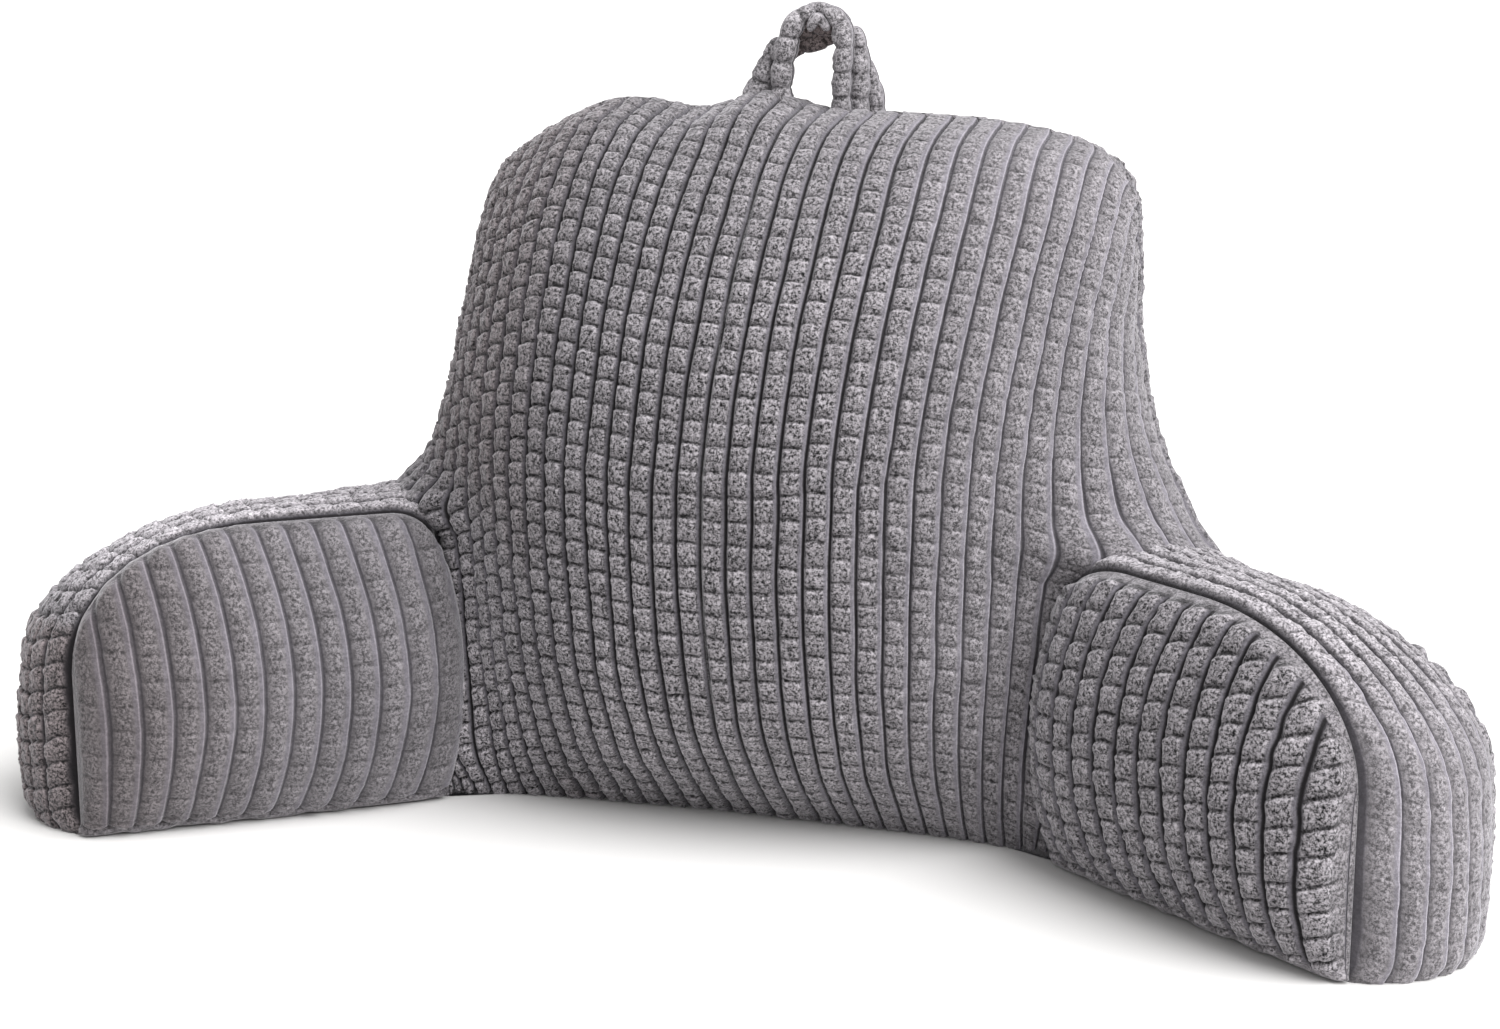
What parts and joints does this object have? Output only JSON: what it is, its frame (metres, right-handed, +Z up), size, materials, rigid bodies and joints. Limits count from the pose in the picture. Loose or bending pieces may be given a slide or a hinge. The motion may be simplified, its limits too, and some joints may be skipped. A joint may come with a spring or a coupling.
{
  "type": "reading pillow with arms",
  "caption": "Ribbed plush reading pillow: an upright filled backrest with two splayed arms and a carry handle on its crest.",
  "frame": {"origin": "on the floor, under the middle of the whole box", "axes": "+Z up, +X to the right as seen from the front, the sitter faces -Y and the arms reach towards -Y"},
  "size_m": [0.9452, 0.3694, 0.5179],
  "materials": {
    "backrest_plush": "deep plush pile in wide ribs, matt with a soft sheen",
    "arm_plush": "deep plush pile in wide ribs, matt with a soft sheen",
    "panel_plush": "deep plush pile in wide ribs, matt with a soft sheen",
    "handle_plush": "deep plush pile in wide ribs, matt with a soft sheen"
  },
  "bodies": {
    "root": {"backrest": "backrest_plush", "arm_right": "arm_plush", "arm_left": "arm_plush", "arm_panel_inner_right": "panel_plush", "arm_panel_inner_left": "panel_plush", "arm_panel_outer_right": "panel_plush", "arm_panel_outer_left": "panel_plush", "carry_handle": "handle_plush"}
  },
  "joints": []
}
